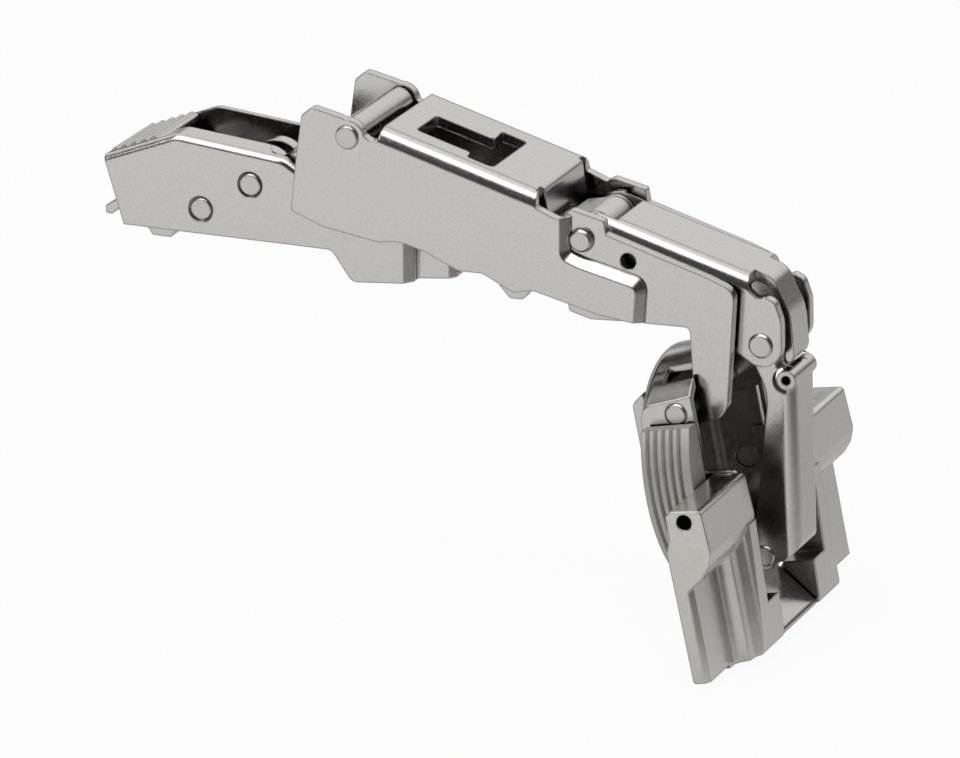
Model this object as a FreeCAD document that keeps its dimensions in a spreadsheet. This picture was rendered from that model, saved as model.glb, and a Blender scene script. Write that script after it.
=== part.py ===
import FreeCAD, Part
import math
import os

# Wide-angle concealed hinge, shown fully open.
# X runs along the arm towards the door, Z points away from the cabinet side, Y is the hinge axis
# direction. Pieces are drawn about the centre plane of the hinge. At the end they are placed so that
# the origin lies on the near foot of the arm, where it seats on its mounting plate.

SIZES = {
    "sheet_wall": 1.5,
    "bend_radius": 0.8,
    "running_gap": 0.3,
    "pin_clearance": 0.05,
    "pin_radius": 1.6,
    "thin_pin_radius": 1.2,
    # pivot places, side view, hinge open
    "rear_pivot_x": 11.0,
    "rear_pivot_z": 8.0,
    "latch_pivot_x": 3.5,
    "latch_pivot_z": 3.6,
    "head_pivot_x": 26.5,
    "head_pivot_z": 17.2,
    "scissor_x": 60.6,
    "scissor_z": 6.1,
    "nose_pivot_x": 46.99,
    "nose_pivot_z": 6.33,
    "front_pivot_x": 85.8,
    "front_pivot_z": -6.7,
    "cup_pivot_x": 75.7,
    "cup_pivot_z": -16.1,
    "foot_pivot_x": 86.0,
    "foot_pivot_z": -37.6,
    # arm
    "arm_width": 16.4,
    "arm_middle_width": 12.0,
    "arm_nose_width": 9.2,
    "arm_height": 14.0,
    "arm_rear": 11.3,
    # outer arm
    "outer_width": 20.4,
    "outer_front_width": 17.3,
    # inner arm
    "inner_width": 12.8,
    "tongue_width": 6.0,
    # rear link
    "rear_link_width": 12.8,
    "rear_link_foot_width": 6.6,
    "strap_wall": 2.4,
    # cup link
    "cup_link_width": 8.8,
    "cup_link_wall": 1.2,
    # cup
    "cup_diameter": 35.0,
    "cup_depth": 7.9,
    "well_depth": 9.6,
    "cup_wall": 1.0,
    "cup_tilt": 11.8,
    "cup_x": 80.27,
    "cup_z": -25.6,
    "cup_flat_width": 24.4,
    "rib_pitch": 1.15,
    # locking lever
    "lever_width": 56.8,
    "lever_opening": 22.8,
    "lever_bottom": 23.6,
    "lever_pin_radius": 1.1,
}

os.makedirs("parts", exist_ok=True)
doc = FreeCAD.newDocument("concealed_hinge")
sheet = doc.addObject("Spreadsheet::Sheet", "Sizes")
for row, (alias, size) in enumerate(SIZES.items(), start=1):
    sheet.set("A%d" % row, alias.replace("_", " "))
    sheet.set("B%d" % row, str(size))
    sheet.setAlias("B%d" % row, alias)
doc.recompute()


def size(alias):
    """A driving dimension, read back from the sheet."""
    return float(sheet.get(alias))


wall = size("sheet_wall")
gap = size("running_gap")
slack = size("pin_clearance")
pin_radius = size("pin_radius")
outer_bend = size("bend_radius") + wall
arm_half = size("arm_width") / 2
middle_half = size("arm_middle_width") / 2
nose_half = size("arm_nose_width") / 2
outer_half = size("outer_width") / 2
front_half = size("outer_front_width") / 2
inner_half = size("inner_width") / 2
link_half = size("cup_link_width") / 2
link_wall = size("cup_link_wall")


def pivot(name):
    """A pivot's place in the side view."""
    return (size(name + "_x"), size(name + "_z"))


REAR = pivot("rear_pivot")
LATCH = pivot("latch_pivot")
HEAD = pivot("head_pivot")
SCISSOR = pivot("scissor")
NOSE = pivot("nose_pivot")
FRONT = pivot("front_pivot")
CUP = pivot("cup_pivot")
FOOT = pivot("foot_pivot")
HOOK = (30.5, -1.9)
CAM = (28.5, 0.0)
SIDE_SCREW = (41.7, 0.0)


def vector(x, y, z=0.0):
    return FreeCAD.Vector(x, y, z)


def outline(points):
    """Closed outline of lines; a third number rounds its corner with a tangent arc."""
    corners = []
    for index, point in enumerate(points):
        here = vector(point[0], point[1])
        if len(point) == 2:
            corners.append((here, here, None))
            continue
        before = points[index - 1]
        after = points[(index + 1) % len(points)]
        back = (vector(before[0], before[1]) - here).normalize()
        ahead = (vector(after[0], after[1]) - here).normalize()
        half = back.getAngle(ahead) / 2
        if half > 1.56:
            corners.append((here, here, None))
            continue
        start = here + back * (point[2] / math.tan(half))
        end = here + ahead * (point[2] / math.tan(half))
        inward = (back + ahead).normalize()
        middle = here + inward * (point[2] / math.sin(half) - point[2])
        corners.append((start, end, Part.Arc(start, middle, end)))
    geometry = []
    for index, (start, end, arc) in enumerate(corners):
        if arc is not None:
            geometry.append(arc)
        following = corners[(index + 1) % len(corners)][0]
        if (following - end).Length > 1e-6:
            geometry.append(Part.LineSegment(end, following))
    return geometry


def circle(centre, radius):
    return [Part.Circle(vector(centre[0], centre[1]), vector(0, 0, 1), radius)]


def rectangle(low, high):
    return outline([low, (high[0], low[1]), high, (low[0], high[1])])


def around(centre, radius, first, last, steps=4):
    """Corner points whose rounded outline follows a circle from one angle to another."""
    step = math.radians(last - first) / steps
    reach = radius / math.cos(step / 2)
    first = math.radians(first)
    points = [(centre[0] + radius * math.cos(first), centre[1] + radius * math.sin(first))]
    for index in range(steps):
        angle = first + step * (index + 0.5)
        x = centre[0] + reach * math.cos(angle)
        z = centre[1] + reach * math.sin(angle)
        points.append((x, z, radius))
    last = math.radians(last)
    points.append((centre[0] + radius * math.cos(last), centre[1] + radius * math.sin(last)))
    return points


def lowered(line, drop):
    """A line of points moved down by a wall, square to each of its runs."""
    moved = []
    for index, point in enumerate(line):
        before = line[max(index - 1, 0)]
        after = line[min(index + 1, len(line) - 1)]
        normals = []
        for start, end in ((before, point), (point, after)):
            length = math.hypot(end[0] - start[0], end[1] - start[1])
            if length > 0:
                normals.append(((end[1] - start[1]) / length, (start[0] - end[0]) / length))
        x = sum(normal[0] for normal in normals)
        z = sum(normal[1] for normal in normals)
        scale = drop * len(normals) / (x * x + z * z)
        moved.append((point[0] + x * scale, point[1] + z * scale))
    return moved


def new_body(name):
    body = doc.addObject("PartDesign::Body", name)
    body.Label = name
    return body


def sketch(body, plane, geometry, offset=0.0):
    """A sketch on one of the body's own origin planes, moved along the plane's normal."""
    item = body.newObject("Sketcher::SketchObject", body.Name + "_sketch")
    support = [plate for plate in body.Origin.OriginFeatures if plate.Role == plane][0]
    item.AttachmentSupport = [(support, "")]
    item.MapMode = "FlatFace"
    item.AttachmentOffset = FreeCAD.Placement(vector(0, 0, offset), FreeCAD.Rotation())
    item.addGeometry(geometry, False)
    return item


def side_pad(body, geometry, width):
    """A pad of a side-view outline, half of its width on each side of the centre plane."""
    item = body.newObject("PartDesign::Pad", body.Name + "_pad")
    item.Profile = sketch(body, "XZ_Plane", geometry)
    item.SideType = "Symmetric"
    if isinstance(width, str):
        item.setExpression("Length", width)
    else:
        item.Length = width
    doc.recompute()
    return item


def side_pocket(body, geometry, width):
    item = body.newObject("PartDesign::Pocket", body.Name + "_pocket")
    item.Profile = sketch(body, "XZ_Plane", geometry)
    item.SideType = "Symmetric"
    if isinstance(width, str):
        item.setExpression("Length", width)
    else:
        item.Length = width
    doc.recompute()
    return item


def spot_face(body, centre, radius, half, depth):
    """A shallow round recess in both outer sides of a part."""
    for side in (-1, 1):
        item = body.newObject("PartDesign::Pocket", body.Name + "_spot")
        item.Profile = sketch(body, "XZ_Plane", circle(centre, radius), side * (half - depth))
        item.Reversed = side > 0
        item.Length = depth + 1
        doc.recompute()


def top_pocket(body, geometry, bottom, top):
    """A cut of a plan-view outline between two heights."""
    item = body.newObject("PartDesign::Pocket", body.Name + "_window")
    item.Profile = sketch(body, "XY_Plane", geometry, top)
    item.Length = top - bottom
    doc.recompute()
    return item


def dress(body, kind, radius, pick):
    """A fillet or chamfer of the edges whose middle the pick accepts."""
    base = body.Tip
    names = []
    for index, edge in enumerate(base.Shape.Edges, start=1):
        middle = edge.valueAt((edge.FirstParameter + edge.LastParameter) / 2)
        if pick(edge, middle):
            names.append("Edge%d" % index)
    item = body.newObject("PartDesign::" + kind, body.Name + "_" + kind.lower())
    item.Base = (base, names)
    if kind == "Fillet":
        item.Radius = radius
    else:
        item.Size = radius
    doc.recompute()
    return item


def round_bend(body, start, end, half, radius):
    """Rounds the two long outer corners of a channel along a straight run of its web."""
    item = body.newObject("PartDesign::Pocket", body.Name + "_bend")
    geometry = []
    for side in (-1, 1):
        place = [(half - radius, 1), (half - radius, 0), (half, -radius), (half + 1, -radius)]
        place = [vector(side * y, z) for y, z in place + [(half + 1, 1)]]
        turn = math.radians(45)
        middle = vector(side * (half - radius + radius * math.sin(turn)), radius * math.cos(turn) - radius)
        geometry += [Part.LineSegment(place[0], place[1]), Part.Arc(place[1], middle, place[2])]
        geometry += [Part.LineSegment(place[2], place[3]), Part.LineSegment(place[3], place[4])]
        geometry += [Part.LineSegment(place[4], place[0])]
    item.Profile = sketch(body, "YZ_Plane", geometry)
    slope = math.degrees(math.atan2(end[1] - start[1], end[0] - start[0]))
    tilt = FreeCAD.Rotation(vector(1, 0, 0), -slope)
    item.Profile[0].AttachmentOffset = FreeCAD.Placement(vector(0, start[1], start[0]), tilt)
    item.Reversed = True
    item.Length = math.hypot(end[0] - start[0], end[1] - start[1])
    doc.recompute()
    return item


def near_line(point, line, reach):
    """Whether a point lies within reach of a line of points in the side view."""
    for start, end in zip(line, line[1:]):
        run = (end[0] - start[0], end[1] - start[1])
        share = (point.x - start[0]) * run[0] + (point.z - start[1]) * run[1]
        share = max(0.0, min(1.0, share / (run[0] ** 2 + run[1] ** 2)))
        away = math.hypot(point.x - start[0] - share * run[0], point.z - start[1] - share * run[1])
        if away < reach:
            return True
    return False


def along(line, half, reach=0.5):
    """Picks the edges on both sides of a part, at a half width, that follow a line."""
    def pick(edge, middle):
        flat = all(abs(abs(vertex.Point.y) - half) < 0.01 for vertex in edge.Vertexes)
        return flat and abs(abs(middle.y) - half) < 0.01 and near_line(middle, line, reach)
    return pick


def cross_pin(name, centre, radius, half, head_radius=0.0, head=0.0, dome=0.3):
    """A pin or rivet along Y, with a head on each end where it has one."""
    body = new_body(name)
    points = [(0, -half - head), (0, half + head)]
    if head > 0:
        points += [(head_radius - dome, half + head), (head_radius, half + head - dome)]
        points += [(head_radius, half), (radius, half), (radius, -half), (head_radius, -half)]
        points += [(head_radius, -half - head + dome), (head_radius - dome, -half - head)]
    else:
        points += [(radius - dome, half), (radius, half - dome)]
        points += [(radius, -half + dome), (radius - dome, -half)]
    item = body.newObject("PartDesign::Revolution", name + "_turn")
    item.Profile = sketch(body, "XY_Plane", outline(points))
    item.ReferenceAxis = (item.Profile[0], ["V_Axis"])
    item.Angle = 360
    doc.recompute()
    body.Placement = FreeCAD.Placement(vector(centre[0], 0, centre[1]), FreeCAD.Rotation())
    return body


# Arm: the pressed channel that carries everything, narrowing in two steps towards its nose.

arm_top = [(-0.3, size("arm_height")), (12.0, 12.75), (16.0, 12.3), (22.0, 8.6), (35.5, 6.6)]
arm_step_x = 35.1
arm_nose_x = 40.7
nose_eye = 2.4
lobe_depth = 4.3


def make_arm():
    body = new_body("arm_channel")
    rear_line = [(-size("arm_rear"), 9.7)] + arm_top[:1]
    rear = [(-8.3, 0.0), (-size("arm_rear"), 9.7)]
    rear += [arm_top[0] + (3.0,), arm_top[1], arm_top[2] + (3.0,), arm_top[3] + (3.0,)]
    rear += [(arm_step_x, 6.6), (arm_step_x, -3.5), (26.3, -lobe_depth, 1.5), (23.2, 0.0, 1.5)]
    side_pad(body, outline(rear), "Sizes.arm_width")
    middle = [(arm_step_x - wall, 6.6), (arm_nose_x, 6.4), (arm_nose_x, -2.7)]
    middle += [(arm_step_x - wall, -3.5)]
    side_pad(body, outline(middle), "Sizes.arm_middle_width")
    nose = [(arm_nose_x - wall, 6.4), (43.6, 6.3, 1.0)] + around(NOSE, nose_eye, 125, -20)
    nose += [(50.6, 2.0, 3.0), (52.3, -2.5, 1.0), (50.3, -5.0, 0.9), (48.3, -5.0, 0.9), (46.6, -3.1, 0.8)]
    nose += [(44.0, -1.2, 2.0), (arm_nose_x - wall, -2.7)]
    side_pad(body, outline(nose), "Sizes.arm_nose_width")
    step = [(arm_step_x, -4), (arm_step_x, 7)]
    dress(body, "Chamfer", 1.2, along(step, arm_half, 0.2))
    dress(body, "Chamfer", 0.9, along([(arm_nose_x, -3), (arm_nose_x, 7)], middle_half, 0.2))
    dress(body, "Fillet", 1.0, along(rear_line[1:] + arm_top[1:3], arm_half))
    inside = lowered([(-16.0, 7.4)] + rear_line + arm_top[1:], wall)
    inside = inside[:-1] + [(arm_step_x - wall, 6.6 - wall), (arm_step_x - wall, -9), (-16.0, -9)]
    side_pocket(body, outline(inside), 2 * (arm_half - wall))
    middle_end = arm_nose_x - wall
    inside = [(30, 6.6 - wall), (middle_end, 6.4 - wall), (middle_end, -9), (30, -9)]
    side_pocket(body, outline(inside), 2 * (middle_half - wall))
    inside = [(38.5, 6.4 - wall), (44.9, 6.4 - wall), (44.9, 12), (60, 12), (60, -9), (38.5, -9)]
    side_pocket(body, outline(inside), 2 * (nose_half - wall))
    inner_line = lowered(rear_line[1:] + arm_top[1:3], wall)
    dress(body, "Fillet", size("bend_radius"), along(inner_line, arm_half - wall))
    # open trough over the rear link and, behind it, over the finger pad, its near ledge the wider one
    trough = [(-14, -6.7), (-2.0, -6.7, 0.5), (-1.6, -4.1, 0.6), (0.4, -3.8, 2.0), (12.4, -3.6, 0.8)]
    trough += [(13.8, -6.7, 0.8), (19.5, -6.7, 1.0), (19.5, 6.7, 1.0), (-14, 6.7)]
    top_pocket(body, outline(trough), 6.0, 20.0)
    # access hole for the depth cam
    top_pocket(body, circle(CAM, 2.4), 4.0, 12.0)
    # seat of the side adjusting screw
    top_pocket(body, circle(SIDE_SCREW, 2.6), 3.0, 12.0)
    for place, radius in ((REAR, pin_radius), (LATCH, pin_radius), (NOSE, size("thin_pin_radius"))):
        side_pocket(body, circle(place, radius), "Sizes.arm_width + 2")
    # the bar that hooks on the mounting plate ends inside the walls
    side_pocket(body, circle(HOOK, size("thin_pin_radius")), "Sizes.arm_width - 1.2")
    for place in (REAR, LATCH):
        spot_face(body, place, pin_radius + 0.25, arm_half, 0.3)
    return body


def make_latch():
    """Release lever: a ribbed finger pad filling the sloping rear of the arm, a nub and a foot below."""
    body = new_body("release_lever")
    slope = (size("arm_height") - 9.7) / (size("arm_rear") - 0.3)

    def roof(x, lift):
        return (x, 9.7 + slope * (x + size("arm_rear")) + lift)
    pad = [roof(-11.25, -0.9) + (0.3,), roof(-3.2, -1.5) + (0.3,), roof(-3.0, 0.0) + (0.5,)]
    pad += [roof(-11.25, 0.05) + (0.3,)]
    side_pad(body, outline(pad), 2 * (arm_half - wall - 0.2))
    stem = [roof(-10.6, -0.5), roof(-3.3, -0.5), (-2.6, 9.5, 2.0), (4.0, 7.2, 1.0)]
    stem += around(LATCH, 3.1, 60, -80)
    stem += [(-1.6, -0.2, 0.8), (-3.2, -2.65, 0.3), (-6.0, -2.65, 0.3), (-6.9, -1.4, 0.4)]
    stem += [(-7.6, 0.7, 0.8), (-10.9, 1.0, 0.5), (-12.2, -0.3, 0.3), (-13.2, -0.2, 0.3)]
    stem += [(-13.2, 0.9, 0.3), (-10.6, 2.6, 0.6), (-8.6, 4.2, 1.0), (-7.6, 7.5, 2.0)]
    stem += [(-10.4, 8.4, 0.8)]
    side_pad(body, outline(stem), 7.0)
    for index in range(5):
        place = -10.9 + 1.5 * index
        ridge = [roof(place, -0.1), roof(place + 0.35, 0.38), roof(place + 0.7, 0.38), roof(place + 1.05, -0.1)]
        side_pad(body, outline(ridge), 2 * (arm_half - wall - 0.2))
    side_pocket(body, circle(LATCH, pin_radius + slack), "Sizes.arm_width + 2")
    return body


def make_rear_link():
    """Rear link: a strap with a wide rolled eye at its head and a thick one at its foot."""
    body = new_body("rear_link")
    run = (HEAD[0] - REAR[0], HEAD[1] - REAR[1])
    length = math.hypot(run[0], run[1])
    ahead = (run[0] / length, run[1] / length)
    side = (-ahead[1], ahead[0])
    half = size("strap_wall") / 2

    def spot(along_way, across):
        x = REAR[0] + ahead[0] * along_way + side[0] * across
        return (x, REAR[1] + ahead[1] * along_way + side[1] * across)
    strap = [spot(0, -half), spot(length, -half), spot(length, half), spot(0, half)]
    side_pad(body, outline(strap), "Sizes.rear_link_foot_width")
    side_pad(body, circle(REAR, 3.9), "Sizes.rear_link_foot_width")
    strap = [spot(6.8, -half), spot(length, -half), spot(length, half), spot(6.8, half)]
    side_pad(body, outline(strap), "Sizes.rear_link_width")
    side_pad(body, circle(HEAD, 2.15), 2 * (outer_half - wall - gap))
    for place in (REAR, HEAD):
        side_pocket(body, circle(place, pin_radius + slack), "Sizes.outer_width + 2")
    # the foot eye is relieved between its two knuckles
    side_pocket(body, circle(REAR, 5.0), 2.4)
    return body


# Outer arm: one pressing, wide at the rear, drawn in round the scissor pin, with a gooseneck
# that reaches down into the cup.

web_top = [(31.4, 18.9), (54.2, 12.35)]
web_fall = (web_top[1][1] - web_top[0][1]) / (web_top[1][0] - web_top[0][0])
outer_rear_edge = [(18.0, 5.7, 0.6), (18.8, 13.0, 8.0), (19.7, 19.6, 1.0), (21.2, 20.9, 0.8)]
outer_bottom = [(31.0, 2.6, 4.0), (34.0, 3.1, 6.0), (38.0, 2.1, 4.0), (43.0, -0.1, 3.0)]
outer_bottom += [(46.5, 0.0, 3.0), (51.0, -2.2, 1.5), (54.0, -1.6, 2.0), (63.6, -3.9, 6.0)]
recess_line = [(59.0, 8.6), (59.0, 4.3), (61.0, 3.6), (70.2, 1.5), (69.8, -4.6)]


def make_outer_arm():
    body = new_body("outer_arm")
    ear = outer_rear_edge + [(25.2, 20.0, 0.6)] + around(HEAD, 2.5, 95, 10, 2)
    ear += [(29.9, 17.0, 0.8), (31.0, 17.3, 0.3)]
    tail = [(78.9, 2.8, 2.0), (82.7, 1.4, 2.2), (82.1, -11.0, 6.0)]
    tail += around((78.9, -14.6), 3.0, 0, -85, 2)
    tail += around(CUP, 2.9, -80, -190, 3) + [(76.9, -12.0, 2.0), (76.3, -4.6, 0.8)]
    tail += [(70.0, -4.8, 1.0), (67.0, -4.2, 4.0)]
    top = [web_top[0], web_top[1], (54.3, 10.3, 0.4), (57.3, 9.1, 1.5), (58.9, 10.2, 0.9)]
    top += [(63.7, 9.1, 0.5), (64.0, 7.2, 0.3)]
    whole = ear + top + tail + list(reversed(outer_bottom)) + [(22.8, 3.9, 4.0)]
    side_pad(body, outline(whole), "Sizes.outer_front_width")
    wide = ear + [web_top[0], web_top[1], (54.3, 10.3, 0.4), (57.3, 9.1, 1.5)]
    wide += [(59.0, 9.2), recess_line[1] + (0.5,), recess_line[2] + (1.0,)]
    wide += [recess_line[3] + (2.2,), recess_line[4]]
    wide += list(reversed(outer_bottom)) + [(22.8, 3.9, 4.0)]
    side_pad(body, outline(wide), "Sizes.outer_width")
    dress(body, "Chamfer", 1.2, along(recess_line, outer_half, 0.6))
    run_out = (web_top[1][0] + 1.6, web_top[1][1] + 1.6 * web_fall)
    round_bend(body, (web_top[0][0] - 0.6, web_top[0][1] - 0.6 * web_fall), run_out, outer_half, outer_bend)
    under = lowered(web_top, wall)
    inside = [(10, -12), (10, 26), (web_top[0][0], 26), under[0], under[1]]
    inside += [(web_top[1][0], 26), (57.9, 26), (57.9, 3.4, 1.0), (60.5, 2.4, 1.0)]
    inside += [(68.9, 0.4, 1.2), (68.6, -12)]
    side_pocket(body, outline(inside), 2 * (outer_half - wall))
    inside = [(52.0, -30), (52.0, under[1][1] - 0.2), (54.2, under[1][1] - 0.2), (54.2, 26)]
    inside += [(90, 26), (90, -30)]
    side_pocket(body, outline(inside), 2 * (front_half - wall))
    # end flap of the web, bent down in front of the inner arm
    flap = [(53.6, 11.0), (52.9, 12.72), (54.4, 12.3, 0.9), (55.2, 7.2), (53.9, 7.0)]
    side_pad(body, outline(flap), 14.2)
    # adjusting window through the web
    window = [(34.8, -5.5, 0.8), (42.9, -5.5, 0.6), (43.1, -7.4, 0.6), (46.9, -7.4, 0.8)]
    window += [(46.9, 5.5, 0.8), (43.1, 5.5, 0.6), (43.4, 1.9, 0.6), (34.8, 1.9, 0.8)]
    top_pocket(body, outline(window), 11.0, 22.0)
    side_pocket(body, circle(HEAD, pin_radius), "Sizes.outer_width + 2")
    side_pocket(body, circle(SCISSOR, pin_radius), "Sizes.outer_width + 2")
    side_pocket(body, circle(CUP, pin_radius + slack), "Sizes.outer_width + 2")
    side_pocket(body, circle((67.3, 3.8), 1.15), "Sizes.outer_width + 2")
    return body


# Inner arm: a channel rolled round the scissor pin, with ears for the front pin and a tongue
# curling down between them.

inner_top = [(62.4, 9.0), (83.6, 2.95)]


def make_inner_arm():
    body = new_body("inner_arm")
    side = around(NOSE, 2.5, 250, 70, 4)
    side += [(50.5, 6.6, 2.0), (56.0, 6.3, 1.0)] + around(SCISSOR, 2.95, 150, 75, 3)
    side += inner_top + [(83.9, 0.9, 0.8), (85.4, -0.2, 0.7), (86.2, 0.4, 0.7), (87.7, -0.3, 1.5)]
    side += [(88.7, -3.0, 3.0)] + around(FRONT, 3.0, 0, -110, 3)
    side += [(82.6, -8.2, 2.0), (76.0, -4.6, 3.0), (68.2, -5.5, 2.0), (61.0, -5.95, 1.0)]
    side += [(57.8, -5.1, 0.6), (57.5, -2.6, 1.5), (54.5, 1.4, 2.0)]
    side_pad(body, outline(side), "Sizes.inner_width")
    fall = (inner_top[1][1] - inner_top[0][1]) / (inner_top[1][0] - inner_top[0][0])
    bend_start = (inner_top[0][0] - 0.9, inner_top[0][1] - 0.9 * fall)
    bend_end = (inner_top[1][0] + 1.0, inner_top[1][1] + 1.0 * fall)
    round_bend(body, bend_start, bend_end, inner_half, outer_bend)
    under = lowered([(60.6, 9.5)] + inner_top, wall)
    hollow = [under[1], under[2], (90.5, 1.0), (92, -15), (42, -15), (42, 12), (57.4, 12)]
    hollow += [(57.4, 2.9)] + around(SCISSOR, 3.05, 210, 330, 3) + [(63.75, 6.0)]
    side_pocket(body, outline(hollow), 2 * (inner_half - wall))
    # gap in the rear of the web for the sleeve on the scissor pin
    gap_line = [(55.0, 12), (64.6, 12), (64.2, 5.0), (64.0, 2.0), (55.0, 2.0)]
    side_pocket(body, outline(gap_line), 2 * (inner_half - wall))
    # the web stops short of the ears and runs on as a tongue
    front = [(83.7, 7), (92, 7), (92, -12), (87.0, -12), (87.0, -1.4), (84.6, 0.2)]
    side_pocket(body, outline(front), 2 * (inner_half - wall) - 0.2)
    web_end = inner_top[1]
    tongue = [(web_end[0], web_end[1] - wall - 0.05), (web_end[0], web_end[1])]
    tongue += [(86.2, 2.1, 2.6), (88.9, -3.2, 8.0), (89.4, -8.6), (88.9, -10.1, 0.6)]
    tongue += [(88.0, -9.6, 0.4), (88.05, -4.0, 6.0), (85.6, 0.9, 1.4)]
    side_pad(body, outline(tongue), "Sizes.tongue_width")
    side_pocket(body, circle(SCISSOR, pin_radius + slack), "Sizes.inner_width + 2")
    side_pocket(body, circle(FRONT, pin_radius), "Sizes.inner_width + 2")
    side_pocket(body, circle(NOSE, size("thin_pin_radius")), "Sizes.inner_width + 2")
    return body


def make_nose_studs():
    """Two rivets in the rear ears of the inner arm, one each side of the arm's nose."""
    body = new_body("inner_arm_studs")
    ear = inner_half - wall
    side_pad(body, circle(NOSE, size("thin_pin_radius")), 2 * inner_half)
    for side in (-1, 1):
        head = body.newObject("PartDesign::Pad", "stud_head")
        head.Profile = sketch(body, "XZ_Plane", circle(NOSE, 1.7), side * inner_half)
        head.Reversed = side < 0
        head.Length = 0.4
        doc.recompute()
    side_pocket(body, circle(NOSE, 3.0), 2 * ear)
    return body


def make_cup_link():
    """Cup link: a channel between the front pin and the foot pin, its web rolled at the top."""
    body = new_body("cup_link")
    roll = (88.7, -12.0)
    web_face = [(90.0, -13.6), (90.85, -35.4)]
    side = around(FRONT, 2.5, 170, 20, 3) + [(88.2, -9.6, 0.8), (90.0, -10.4, 0.8), web_face[0]]
    side += [web_face[1], (90.4, -36.6, 0.8), (89.0, -37.9, 0.6)]
    side += around(FOOT, 2.1, -20, -170, 3) + [(84.6, -34.0, 3.0), (86.2, -14.0, 8.0)]
    side += [(83.6, -9.0, 2.0)]
    side_pad(body, outline(side), "Sizes.cup_link_width")
    dress(body, "Fillet", 1.75, along(web_face, link_half, 0.2))
    deep = [(80, 0), (92, 0), (92, -12.0), (roll[0], -12.0)]
    deep += [(web_face[0][0] - link_wall, -14.0), (web_face[1][0] - link_wall, -36.0)]
    deep += [(web_face[1][0] - link_wall, -44), (80, -44)]
    side_pocket(body, outline(deep), 2 * (link_half - link_wall))
    foot = [(86, -37.2), (94, -37.2), (94, -44), (86, -44)]
    side_pocket(body, outline(foot), 2 * (link_half - link_wall))
    # the web curls over at the top into a roll that stands free of the side walls
    free = [(roll[0] + 0.1, -12.0)] + around(roll, 1.85, -87, -300, 3) + [(91.4, -8.9), (94, -8.9)]
    free += [(94, -12.0)]
    side_pocket(body, outline(free), "Sizes.cup_link_width + 2")
    side_pad(body, circle(roll, 1.4), "Sizes.cup_link_width - 0.3")
    side_pocket(body, circle(roll, 0.65), "Sizes.cup_link_width + 2")
    side_pocket(body, circle(FRONT, pin_radius + slack), "Sizes.cup_link_width + 2")
    side_pocket(body, circle(FOOT, size("thin_pin_radius")), "Sizes.cup_link_width + 2")
    return body


def make_sleeve():
    """Sleeve on the scissor pin, with a collar at each end and a tail towards the rear."""
    body = new_body("scissor_sleeve")
    half = inner_half - wall - 0.15
    tail = [(SCISSOR[0] - 4.2, SCISSOR[1] + 0.9, 0.3), (SCISSOR[0] - 4.2, SCISSOR[1] + 1.8, 0.3)]
    tail += [(SCISSOR[0], SCISSOR[1] + 2.7), (SCISSOR[0], SCISSOR[1] + 1.4)]
    side_pad(body, circle(SCISSOR, 2.7), 2 * half)
    side_pad(body, outline(tail), 2 * half - 2.4)
    geometry = circle(SCISSOR, 4.5) + circle(SCISSOR, 2.45)
    for side in (-1, 1):
        groove = body.newObject("PartDesign::Pocket", "sleeve_groove")
        groove.Profile = sketch(body, "XZ_Plane", geometry, side * (half - 0.9))
        groove.Reversed = side < 0
        groove.Length = 0.3
        doc.recompute()
    side_pocket(body, circle(SCISSOR, pin_radius + slack), "Sizes.inner_width + 2")
    return body


# Cup and locking lever are drawn square to the cup, seen from the side: X out of the cup's
# mouth, Z up the door, origin at the middle of the mouth. They are then tilted into place.

cup_place = FreeCAD.Placement(
    vector(size("cup_x"), 0, size("cup_z")),
    FreeCAD.Rotation(vector(0, -1, 0), size("cup_tilt")),
)
cup_radius = size("cup_diameter") / 2
cup_wall = size("cup_wall")
flat_half = size("cup_flat_width") / 2


def in_cup(place):
    """A side-view place in the cup's own frame."""
    local = cup_place.inverse().multVec(vector(place[0], 0, place[1]))
    return (local.x, local.z)


CUP_LOCAL = in_cup(CUP)
FOOT_LOCAL = in_cup(FOOT)
jaw_top = 9.0
jaw_bottom = -11.3
jaw_half = 12.0
AXLE = (2.9, -0.3)
JAW_PEG = (-3.4, -3.0)
jaw_travel = 0.5


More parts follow.
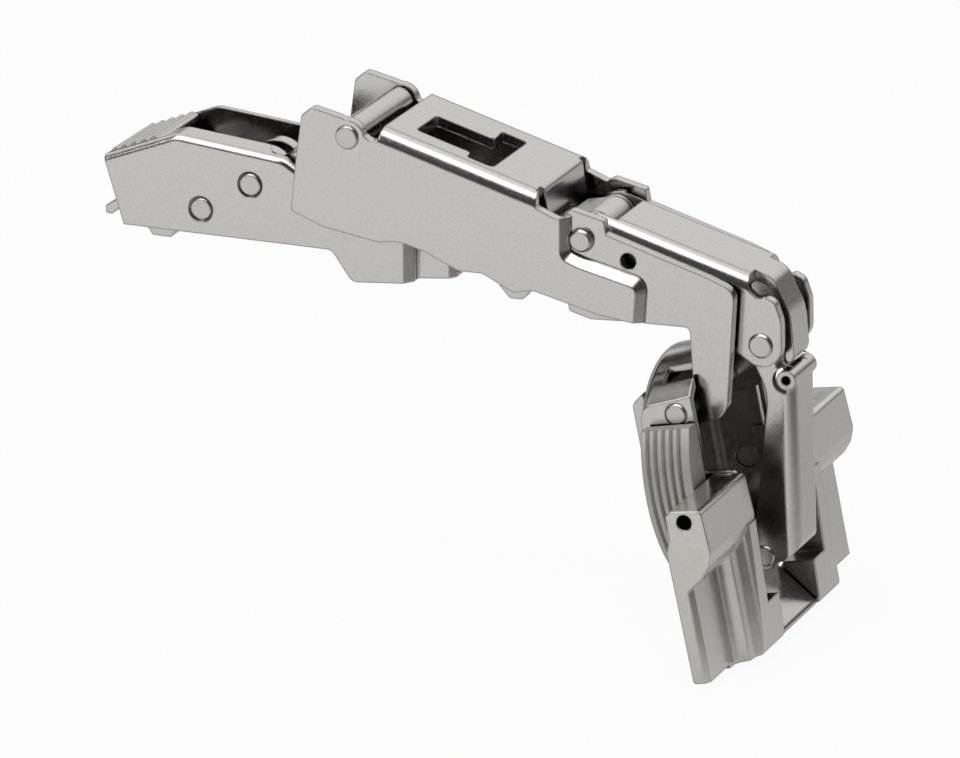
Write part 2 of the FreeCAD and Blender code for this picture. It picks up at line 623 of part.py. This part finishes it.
def make_cup():
    body = new_body("cup")
    depth = size("cup_depth")
    profile = [(-depth, 0), (-depth, cup_radius - 0.9, 1.8), (0.0, cup_radius - 0.1), (0.0, 0.0)]
    item = body.newObject("PartDesign::Revolution", "cup_draw")
    item.Profile = sketch(body, "XY_Plane", outline(profile))
    item.ReferenceAxis = (item.Profile[0], ["H_Axis"])
    item.Angle = 360
    doc.recompute()
    # flats on both sides that leave room for the jaws
    for side in (-1, 1):
        flat = body.newObject("PartDesign::Pocket", "cup_flat")
        flat.Profile = sketch(body, "XZ_Plane", rectangle((-20, -11.6), (1.0, 13.2)), side * jaw_half)
        flat.Reversed = side > 0
        flat.Length = 8.0
        doc.recompute()
    inner = cup_radius - cup_wall - 0.3
    half = jaw_half - cup_wall - 0.1
    rise = math.sqrt(inner ** 2 - half ** 2)
    arcs = [Part.Arc(vector(-half, rise), vector(0, inner), vector(half, rise))]
    arcs += [Part.LineSegment(vector(half, rise), vector(half, -rise))]
    arcs += [Part.Arc(vector(half, -rise), vector(0, -inner), vector(-half, -rise))]
    arcs += [Part.LineSegment(vector(-half, -rise), vector(-half, rise))]
    hollow = body.newObject("PartDesign::Pocket", "cup_hollow")
    hollow.Profile = sketch(body, "YZ_Plane", arcs, 1.0)
    hollow.Length = 1.0 + depth - 0.8
    doc.recompute()
    # deeper well under the end of the outer arm
    well = size("well_depth")
    shell = [(-depth + 0.1, -9.8), (-well, -8.6, 1.2), (-well, 11.6, 1.2), (-depth + 0.1, 13.0)]
    side_pad(body, outline(shell), 2 * (front_half + 1.2))
    inside = [(-depth + 1.5, -9.4), (-well + 0.7, -8.2, 0.8), (-well + 0.7, 11.2, 0.8), (-depth + 1.5, 12.4)]
    side_pocket(body, outline(inside), 2 * (front_half + 0.5))
    # slots in the rim that the gooseneck stands in
    for side in (-1, 1):
        slot = body.newObject("PartDesign::Pocket", "rim_slot")
        low = (min(side * 6.8, side * 9.4), 11.0)
        high = (max(side * 6.8, side * 9.4), 19.0)
        slot.Profile = sketch(body, "YZ_Plane", rectangle(low, high), 1.0)
        slot.Length = 5.6
        doc.recompute()
    # ears for the axle of the locking lever
    ear = [(-1.5, AXLE[1] - 1.9)] + around(AXLE, 1.9, -90, 90) + [(-1.5, AXLE[1] + 1.9)]
    side_pad(body, outline(ear), 22.6)
    side_pocket(body, rectangle((-1.6, -3.0), (6.0, 3.0)), 21.0)
    side_pocket(body, circle(AXLE, size("lever_pin_radius") - slack), 30.0)
    # rim notch and ramp that the cup link folds down over
    notch = [(-2.4, -13.0), (-2.4, -19.0), (2.0, -19.0), (2.0, -13.0)]
    side_pocket(body, outline(notch), 10.6)
    ramp = [(-3.6, -15.7), (-1.6, -15.7), (4.55, -23.1), (0.05, -23.1), (0.05, -18.6), (-3.6, -16.9)]
    side_pad(body, outline(ramp), 13.6)
    # cradle posts for the foot pin, open outwards and upwards
    post = [(-depth + 0.3, -15.0), (0.6, -15.0), (1.6, -14.0), (1.6, -11.2, 0.5)]
    post += [(-depth + 0.3, -11.2)]
    side_pad(body, outline(post), 6.2)
    post = [(-depth + 1.0, -11.0), (3.0, -11.0), (3.0, -15.6), (-2.4, -15.6), (-2.4, -15.0)]
    post += [(-depth + 1.0, -15.0)]
    side_pocket(body, outline(post), 3.6)
    foot_pin = size("thin_pin_radius")
    seat = [(FOOT_LOCAL[0] - foot_pin - 0.75, -10), (FOOT_LOCAL[0] + 4, -10)]
    seat += [(FOOT_LOCAL[0] + 4, FOOT_LOCAL[1] - foot_pin - 0.12)]
    seat += [(FOOT_LOCAL[0] - foot_pin - 0.75, FOOT_LOCAL[1] - foot_pin - 0.12, 0.8)]
    side_pocket(body, outline(seat), 6.6)
    side_pocket(body, circle(CUP_LOCAL, pin_radius), 40.0)
    side_pocket(body, circle(JAW_PEG, 1.6), 40.0)
    body.Placement = cup_place
    return body


def make_jaw(name, side):
    """Expansion jaw: a ribbed block beside the cup."""
    body = new_body(name)
    outer = cup_radius - 0.2
    top = math.sqrt(outer ** 2 - jaw_top ** 2)
    bottom = math.sqrt(outer ** 2 - jaw_bottom ** 2)
    near = side * (jaw_half + 0.1 + jaw_travel)
    shape = [Part.Arc(vector(side * top, jaw_top), vector(side * outer, 0), vector(side * bottom, jaw_bottom))]
    shape += [Part.LineSegment(vector(side * bottom, jaw_bottom), vector(near, jaw_bottom))]
    shape += [Part.LineSegment(vector(near, jaw_bottom), vector(near, jaw_top))]
    shape += [Part.LineSegment(vector(near, jaw_top), vector(side * top, jaw_top))]
    block = body.newObject("PartDesign::Pad", name + "_block")
    block.Profile = sketch(body, "YZ_Plane", shape, -6.9)
    block.Length = 7.2
    doc.recompute()
    # guide peg that slides in the side of the cup
    peg = body.newObject("PartDesign::Pad", name + "_peg")
    peg.Profile = sketch(body, "XZ_Plane", circle(JAW_PEG, 1.55), -side * (jaw_half - 0.7))
    peg.Reversed = side > 0
    peg.Length = 2.5
    doc.recompute()
    # grooves between the ribs
    for index in range(5):
        place = -5.9 + size("rib_pitch") * index
        groove = body.newObject("PartDesign::Groove", name + "_groove")
        cut = [(place, outer + 0.6), (place - 0.28, outer), (place, outer - 0.35), (place + 0.28, outer)]
        groove.Profile = sketch(body, "XY_Plane", outline([(a, side * r) for a, r in cut]))
        groove.ReferenceAxis = (groove.Profile[0], ["H_Axis"])
        groove.Angle = 360
        doc.recompute()
    body.Placement = cup_place
    return body


def make_lever():
    """Locking lever: a low box across the top of each end, a dished plate below it, and a frame
    round the foot of the link that joins the two ends."""
    body = new_body("locking_lever")
    low = -size("lever_bottom")
    front = [(5.6, 1.15), (5.95, -5.0), (5.2, low + 1.0), (4.9, low)]
    end = [(-0.45, -4.5), (0.3, -2.5), (0.35, 0.7, 0.5), (1.0, 1.35, 0.6), (5.55, 1.15, 0.7)]
    end += [(5.9, -4.9, 1.6), (5.2, -6.8, 1.6), (4.0, -8.3, 2.0), (2.15, -9.6), (2.1, low + 0.5)]
    end += [(-0.2, low + 0.5, 0.5)]
    side_pad(body, outline(end), "Sizes.lever_width")
    dress(body, "Chamfer", 0.7, along([(2.15, -10.5), (2.1, low + 1.0)], size("lever_width") / 2, 0.4))
    # inner end of each dish, rising in two hollows to the frame
    rise = [(0.1, 20.6), (2.05, 20.6), (2.2, 18.5, 1.4), (4.0, 17.75, 0.15), (4.2, 16.3, 1.0)]
    rise += [(5.1, 15.3, 0.15), (5.35, 14.5, 0.4), (6.1, 13.8, 0.3)]
    geometry = outline(rise + [(a, -y) + tuple(more) for a, y, *more in reversed(rise)])
    block = body.newObject("PartDesign::Pad", "lever_frame")
    block.Profile = sketch(body, "XY_Plane", geometry, low)
    block.Length = -5.5 - low
    doc.recompute()
    ahead = front[1:] + [(12, low - 1), (12, -4.0), (6.5, -4.0)]
    side_pocket(body, outline(ahead), "Sizes.lever_width + 2")
    # back of the lever, clear of the cup and its jaws
    behind = [(-2, 3), (0.6, 3), (0.6, -17.6), (0.1, -18.2), (0.1, low - 2), (-2, low - 2)]
    side_pocket(body, outline(behind), 2 * (cup_radius + 0.7))
    # opening for the arm and, below it, the pocket for the foot of the link
    side_pocket(body, rectangle((-1, -17.4), (9, 4)), "Sizes.lever_opening")
    side_pocket(body, rectangle((-1, -23.2), (9, -17.0)), 14.4)
    side_pocket(body, rectangle((4.7, -25), (9, -17.0)), 14.4)
    side_pocket(body, circle(AXLE, size("lever_pin_radius")), "Sizes.lever_width + 2")
    body.Placement = cup_place
    return body


def in_cup_pin(name, place, radius, low, high):
    """Two plain pins along Y, one each side of the centre plane, set square to the cup."""
    body = new_body(name)
    side_pad(body, circle(place, radius), 2 * high)
    if low > 0:
        side_pocket(body, circle(place, radius + 1), 2 * low)
    body.Placement = cup_place
    return body


def make_screw(name, centre, profile, recess):
    """Adjusting screw standing along Z, with a cross recess in its top face."""
    body = new_body(name)
    item = body.newObject("PartDesign::Revolution", name + "_turn")
    item.Profile = sketch(body, "XZ_Plane", outline(profile))
    item.ReferenceAxis = (item.Profile[0], ["V_Axis"])
    item.Angle = 360
    doc.recompute()
    top = profile[-1][1]
    top_pocket(body, rectangle((-recess, -0.35), (recess, 0.35)), top - 1.2, top + 1)
    top_pocket(body, rectangle((-0.35, -recess), (0.35, recess)), top - 1.2, top + 1)
    body.Placement = FreeCAD.Placement(vector(centre[0], centre[1], 0), FreeCAD.Rotation())
    return body


side_profile = [(0, -2.0), (2.0, -2.0), (2.0, 4.8), (2.6, 4.8), (2.6, 6.9), (2.3, 7.2), (0, 7.2)]
cam_profile = [(0, 0.2), (2.0, 0.2), (2.0, 2.4), (3.2, 2.4), (3.2, 4.9), (2.4, 4.9), (2.4, 8.0)]
cam_profile += [(2.2, 8.2), (0, 8.2)]

nodes = [
    make_arm(),
    make_latch(),
    make_rear_link(),
    make_outer_arm(),
    make_inner_arm(),
    make_sleeve(),
    make_cup_link(),
    make_cup(),
    make_jaw("near_jaw", -1),
    make_jaw("far_jaw", 1),
    make_lever(),
    in_cup_pin("locking_lever_axle", AXLE, size("lever_pin_radius") - slack, 10.5, 25.0),
    cross_pin("rear_link_pin", REAR, pin_radius, arm_half + 0.1, dome=0.2),
    cross_pin("release_lever_pin", LATCH, pin_radius, arm_half, dome=0.2),
    cross_pin("hook_pin", HOOK, size("thin_pin_radius"), arm_half - 0.6),
    cross_pin("head_pin", HEAD, pin_radius, outer_half, 1.65, 0.4, 0.2),
    cross_pin("scissor_pin", SCISSOR, pin_radius, front_half + 1.0),
    cross_pin("front_pin", FRONT, pin_radius, inner_half, 1.75, 0.4),
    cross_pin("cup_arm_pin", CUP, pin_radius, 12.2),
    cross_pin("foot_pin", FOOT, size("thin_pin_radius"), link_half, 1.5, 0.3, 0.2),
    cross_pin("nose_pin", NOSE, size("thin_pin_radius"), nose_half + 0.15, dome=0.1),
    make_nose_studs(),
    make_screw("side_adjusting_screw", SIDE_SCREW, side_profile, 1.7),
    make_screw("depth_cam", CAM, cam_profile, 1.6),
]

# the origin goes to the middle of the near wall's foot
seat = FreeCAD.Placement(vector(0, arm_half - wall / 2, 0), FreeCAD.Rotation())
for item in nodes:
    item.Placement = seat.multiply(item.Placement)

doc.recompute()
for item in doc.Objects:
    if "Invalid" in item.State or "Error" in item.State:
        raise RuntimeError("%s failed: %s" % (item.Name, item.State))
for item in nodes:
    if item.Shape.isNull() or not item.Shape.isValid() or not item.Shape.Solids:
        raise RuntimeError("%s has no valid solid" % item.Label)
for item in nodes:
    item.Shape.exportStep("parts/%s.step" % item.Label)
    print(item.Label, len(item.Shape.Solids), round(item.Shape.Volume, 1))
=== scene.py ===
import math

import bpy
from mathutils import Matrix, Vector


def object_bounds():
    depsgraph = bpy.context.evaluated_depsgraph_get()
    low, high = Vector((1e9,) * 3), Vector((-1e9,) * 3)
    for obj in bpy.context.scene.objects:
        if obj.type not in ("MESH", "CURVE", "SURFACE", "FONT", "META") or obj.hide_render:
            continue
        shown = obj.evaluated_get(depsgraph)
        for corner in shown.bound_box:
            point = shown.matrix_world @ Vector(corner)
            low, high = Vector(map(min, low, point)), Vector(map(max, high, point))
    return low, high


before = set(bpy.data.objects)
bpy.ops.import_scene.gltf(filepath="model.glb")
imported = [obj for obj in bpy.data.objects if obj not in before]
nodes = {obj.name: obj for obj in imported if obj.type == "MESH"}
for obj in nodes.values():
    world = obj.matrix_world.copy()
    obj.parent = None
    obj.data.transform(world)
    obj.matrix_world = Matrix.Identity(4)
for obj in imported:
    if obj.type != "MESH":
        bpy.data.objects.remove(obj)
cad_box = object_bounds()

# ---------------------------------------------------------------- camera

AZIMUTH = math.radians(22.2)
ELEVATION = math.radians(18.5)
TARGET = Vector((0.04203, 0.00745, -0.01894))
DISTANCE = 1.1111
LENS = 300.0
SENSOR = 36.0

back = Vector((
    math.sin(AZIMUTH) * math.cos(ELEVATION),
    -math.cos(AZIMUTH) * math.cos(ELEVATION),
    math.sin(ELEVATION),
))
right = Vector((0, 0, 1)).cross(back).normalized()
up = back.cross(right)
camera_data = bpy.data.cameras.new("camera")
camera_data.lens = LENS
camera_data.sensor_width = SENSOR
camera_data.clip_start = 0.01
camera_data.clip_end = 20.0
camera = bpy.data.objects.new("camera", camera_data)
bpy.context.scene.collection.objects.link(camera)
turn = Matrix((right, up, back)).transposed()
camera.matrix_world = Matrix.Translation(TARGET + back * DISTANCE) @ turn.to_4x4()
bpy.context.scene.camera = camera

# ---------------------------------------------------------------- shader helpers


def new_material(name):
    material = bpy.data.materials.new(name)
    material.use_nodes = True
    tree = material.node_tree
    tree.nodes.clear()
    return material, tree


def add(tree, kind, **settings):
    node = tree.nodes.new(kind)
    for key, value in settings.items():
        if key in node.inputs:
            node.inputs[key].default_value = value
        else:
            setattr(node, key, value)
    return node


def noise(tree, place, scale, detail=3.0, roughness=0.5):
    node = add(tree, "ShaderNodeTexNoise", Scale=scale, Detail=detail, Roughness=roughness)
    tree.links.new(place, node.inputs["Vector"])
    return node


def spread(tree, value, low, high, first=0.0, last=1.0):
    """Maps a value from one range to another, held at its ends."""
    node = add(tree, "ShaderNodeMapRange")
    node.inputs["From Min"].default_value = first
    node.inputs["From Max"].default_value = last
    node.inputs["To Min"].default_value = low
    node.inputs["To Max"].default_value = high
    tree.links.new(value, node.inputs["Value"])
    return node.outputs["Result"]


def ramp(tree, value, stops):
    node = add(tree, "ShaderNodeValToRGB")
    while len(node.color_ramp.elements) < len(stops):
        node.color_ramp.elements.new(0.5)
    for element, (at, colour) in zip(node.color_ramp.elements, stops):
        element.position = at
        element.color = (*colour, 1.0)
    tree.links.new(value, node.inputs["Fac"])
    return node.outputs["Color"]


def blend(tree, share, first, second):
    mix = add(tree, "ShaderNodeMix", data_type="RGBA")
    tree.links.new(share, mix.inputs[0])
    for socket, value in ((mix.inputs[6], first), (mix.inputs[7], second)):
        if isinstance(value, tuple):
            socket.default_value = (*value, 1.0)
        else:
            tree.links.new(value, socket)
    return mix.outputs[2]


HOLLOW_SHADE_TONE = 0.08  # share of the dark colour that is left deep in a hollow, as painted shade
EDGE_SHADE_TONE = 0.25  # the same for the painted shade line along an edge
RIPPLE_HEIGHT = 0.0006
GRAIN_HEIGHT = 0.00003


def metal(name, dark, light, rough, grain=0.35, grain_scale=5200.0, wave=0.10, edge=0.0004,
          mottle=800.0, shine=1.0, edge_shade=0.6, shade_depth=0.010):
    """Plated or cast metal with a cloudy colour, uneven gloss and fine grain.

    Edges are rounded over `edge` metres and carry a painted shade line as strong as
    `edge_shade`; painted shade darkens the colour in hollows within `shade_depth` metres.
    """
    material, tree = new_material(name)
    place = add(tree, "ShaderNodeTexCoord").outputs["Object"]
    cloud = noise(tree, place, mottle, 5.0, 0.6).outputs["Fac"]
    fine = noise(tree, place, grain_scale, 2.0, 0.6).outputs["Fac"]
    slow = noise(tree, place, 130.0, 2.0, 0.5).outputs["Fac"]
    colour = ramp(tree, cloud, [(0.30, dark), (0.70, light)])
    # painted shade: ambient occlusion darkens the base colour in hollows and between parts
    hollow = add(tree, "ShaderNodeAmbientOcclusion", samples=8)
    hollow.inputs["Distance"].default_value = shade_depth
    unshaded_share = spread(tree, hollow.outputs["AO"], 0.0, 1.0, 0.08, 0.58)
    colour = blend(tree, unshaded_share, tuple(HOLLOW_SHADE_TONE * part for part in dark), colour)
    gloss = spread(tree, cloud, rough[0], rough[1], 0.3, 0.7)
    soft = add(tree, "ShaderNodeBevel", samples=6)
    soft.inputs["Radius"].default_value = edge
    # painted shade: a dark line in the base colour where the bevelled normal turns from the
    # surface
    turn = add(tree, "ShaderNodeVectorMath", operation="DOT_PRODUCT")
    tree.links.new(soft.outputs["Normal"], turn.inputs[0])
    tree.links.new(add(tree, "ShaderNodeNewGeometry").outputs["Normal"], turn.inputs[1])
    edge_shade_share = spread(tree, turn.outputs["Value"], edge_shade, 0.0, 0.80, 0.98)
    colour = blend(tree, edge_shade_share, colour, tuple(EDGE_SHADE_TONE * part for part in dark))
    ripple = add(tree, "ShaderNodeBump", Strength=wave, Distance=RIPPLE_HEIGHT)
    tree.links.new(slow, ripple.inputs["Height"])
    tree.links.new(soft.outputs["Normal"], ripple.inputs["Normal"])
    bump = add(tree, "ShaderNodeBump", Strength=grain, Distance=GRAIN_HEIGHT)
    tree.links.new(fine, bump.inputs["Height"])
    tree.links.new(ripple.outputs["Normal"], bump.inputs["Normal"])
    shader = add(tree, "ShaderNodeBsdfPrincipled", Metallic=shine)
    tree.links.new(colour, shader.inputs["Base Color"])
    tree.links.new(gloss, shader.inputs["Roughness"])
    tree.links.new(bump.outputs["Normal"], shader.inputs["Normal"])
    out = add(tree, "ShaderNodeOutputMaterial")
    tree.links.new(shader.outputs["BSDF"], out.inputs["Surface"])
    return material


plated = metal("nickel_plated_steel", (0.60, 0.59, 0.577), (0.675, 0.665, 0.651), (0.12, 0.20),
               mottle=2200.0)
cup_plated = metal("nickel_plated_cup", (0.62, 0.61, 0.59), (0.68, 0.67, 0.65), (0.14, 0.22),
                   grain=0.2, shade_depth=0.014)
pin_steel = metal("pin_steel", (0.60, 0.59, 0.57), (0.66, 0.65, 0.63), (0.20, 0.30),
                  mottle=1500.0, edge=0.0003)
sleeve_steel = metal("sleeve_steel", (0.72, 0.71, 0.69), (0.78, 0.77, 0.75), (0.34, 0.42),
                     edge=0.0003)
zinc = metal("plated_zinc", (0.66, 0.645, 0.62), (0.73, 0.715, 0.69), (0.16, 0.26), grain=0.15,
             grain_scale=3600.0, wave=0.14, edge=0.0005, edge_shade=0.25, shade_depth=0.008)
jaw_zinc = metal("bare_zinc", (0.56, 0.55, 0.52), (0.62, 0.61, 0.58), (0.50, 0.60), grain=0.4,
                 grain_scale=4200.0, edge=0.0003, shine=0.75)

FINISH = {
    plated: ["arm_channel", "release_lever", "rear_link", "outer_arm", "inner_arm", "cup_link"],
    cup_plated: ["cup"],
    pin_steel: ["locking_lever_axle", "rear_link_pin", "release_lever_pin", "hook_pin",
                "head_pin", "scissor_pin", "front_pin", "cup_arm_pin", "foot_pin", "nose_pin",
                "inner_arm_studs", "side_adjusting_screw", "depth_cam"],
    sleeve_steel: ["scissor_sleeve"],
    zinc: ["locking_lever"],
    jaw_zinc: ["near_jaw", "far_jaw"],
}
for material, names in FINISH.items():
    for name in names:
        slots = nodes[name].data.materials
        if not slots:
            slots.append(material)
        for index in range(len(slots)):
            slots[index] = material

# ---------------------------------------------------------------- studio


def link(obj):
    bpy.context.scene.collection.objects.link(obj)
    return obj


FLOOR_GAP = 0.0004
FLOOR_REACH = 4.0
CAMERA_GLOW = 0.94  # share of the floor that shows as plain white; the rest takes the shadow
GLOSS_SHARE = 0.85  # share of the painted tone in what metal reflects of the floor

floor_z = cad_box[0].z - FLOOR_GAP
corners = [(-1, -1), (1, -1), (1, 1), (-1, 1)]
floor_mesh = bpy.data.meshes.new("floor")
floor_mesh.from_pydata([(x * FLOOR_REACH, y * FLOOR_REACH, floor_z) for x, y in corners], [],
                       [(0, 1, 2, 3)])
floor = link(bpy.data.objects.new("floor", floor_mesh))
material, tree = new_material("pale_floor")
grain = noise(tree, add(tree, "ShaderNodeTexCoord").outputs["Object"], 40.0, 3.0).outputs["Fac"]
lit = add(tree, "ShaderNodeBsdfDiffuse")
floor_colour = ramp(tree, grain, [(0.3, (0.80, 0.80, 0.80)), (0.7, (0.83, 0.83, 0.83))])
tree.links.new(floor_colour, lit.inputs["Color"])
glow = add(tree, "ShaderNodeEmission", Strength=1.0)
path = add(tree, "ShaderNodeLightPath")
share = add(tree, "ShaderNodeMath", operation="MULTIPLY")
share.inputs[1].default_value = CAMERA_GLOW
tree.links.new(path.outputs["Is Camera Ray"], share.inputs[0])
mix = add(tree, "ShaderNodeMixShader")
tree.links.new(share.outputs[0], mix.inputs["Fac"])
tree.links.new(lit.outputs[0], mix.inputs[1])
tree.links.new(glow.outputs[0], mix.inputs[2])
# painted reflection, what the metal sees of the floor: pale ahead and to the left, grey behind,
# dark to the right
spot = add(tree, "ShaderNodeSeparateXYZ")
tree.links.new(add(tree, "ShaderNodeTexCoord").outputs["Object"], spot.inputs[0])
ahead_share = spread(tree, spot.outputs["Y"], 1.0, 0.0, -0.16, 0.06)
tone = blend(tree, ahead_share, (0.50, 0.495, 0.485), (0.86, 0.85, 0.84))
right_share = spread(tree, spot.outputs["X"], 0.0, 1.0, 0.10, 0.20)
front_share = spread(tree, spot.outputs["Y"], 1.0, 0.0, 0.02, 0.12)
dark_share = add(tree, "ShaderNodeMath", operation="MULTIPLY")
tree.links.new(right_share, dark_share.inputs[0])
tree.links.new(front_share, dark_share.inputs[1])
tone = blend(tree, dark_share.outputs[0], tone, (0.10, 0.10, 0.10))
painted_reflection = add(tree, "ShaderNodeEmission", Strength=1.0)
tree.links.new(tone, painted_reflection.inputs["Color"])
metal_mix = add(tree, "ShaderNodeMixShader")
gloss_share = add(tree, "ShaderNodeMath", operation="MULTIPLY")
gloss_share.inputs[1].default_value = GLOSS_SHARE
tree.links.new(path.outputs["Is Glossy Ray"], gloss_share.inputs[0])
tree.links.new(gloss_share.outputs[0], metal_mix.inputs["Fac"])
tree.links.new(mix.outputs[0], metal_mix.inputs[1])
tree.links.new(painted_reflection.outputs[0], metal_mix.inputs[2])
out = add(tree, "ShaderNodeOutputMaterial")
tree.links.new(metal_mix.outputs[0], out.inputs["Surface"])
floor_mesh.materials.append(material)

world = bpy.data.worlds.new("studio")
bpy.context.scene.world = world
world.use_nodes = True
tree = world.node_tree
tree.nodes.clear()
direction = add(tree, "ShaderNodeTexCoord").outputs["Generated"]
parts = add(tree, "ShaderNodeSeparateXYZ")
tree.links.new(direction, parts.inputs[0])
height = parts.outputs["Z"]


def grey(value):
    return (value, value * 0.99, value * 0.975)


# grey walls behind, a dark room in front of the object, bright overhead
REAR_WALL = [(0.0, 0.45), (0.05, 0.25), (0.18, 0.25), (0.30, 0.85), (0.62, 0.85), (0.74, 0.45),
             (0.90, 1.0)]
FRONT_WALL = [(0.0, 0.12), (0.10, 0.06), (0.76, 0.06), (0.86, 2.4)]
rear = ramp(tree, height, [(at, grey(tone)) for at, tone in REAR_WALL])
ahead = ramp(tree, height, [(at, grey(tone)) for at, tone in FRONT_WALL])
sky = blend(tree, spread(tree, parts.outputs["Y"], 1.0, 0.0, -0.25, 0.05), rear, ahead)
sky = blend(tree, spread(tree, parts.outputs["X"], 0.0, 0.55, 0.15, 0.75), sky, grey(0.05))
path = add(tree, "ShaderNodeLightPath")
sky = blend(tree, path.outputs["Is Camera Ray"], sky, (1.0, 1.0, 1.0))
shine = add(tree, "ShaderNodeBackground", Strength=1.0)
tree.links.new(sky, shine.inputs["Color"])
out = add(tree, "ShaderNodeOutputWorld")
tree.links.new(shine.outputs[0], out.inputs["Surface"])


LAMP_PLACE = Vector((-0.30, -0.45, 0.40))
LAMP_AIM = Vector((-0.02, -0.15, -0.07))
LAMP_SIDE = 0.35
LAMP_POWER = 0.9

lamp_data = bpy.data.lights.new("left", "AREA")
lamp_data.shape = "RECTANGLE"
lamp_data.size = LAMP_SIDE
lamp_data.size_y = LAMP_SIDE
lamp_data.energy = LAMP_POWER
lamp = link(bpy.data.objects.new("left", lamp_data))
lamp.location = LAMP_PLACE
lamp.rotation_mode = "QUATERNION"
lamp.rotation_quaternion = (LAMP_AIM - LAMP_PLACE).to_track_quat("-Z", "Y")

bpy.context.scene.view_settings.view_transform = "Standard"
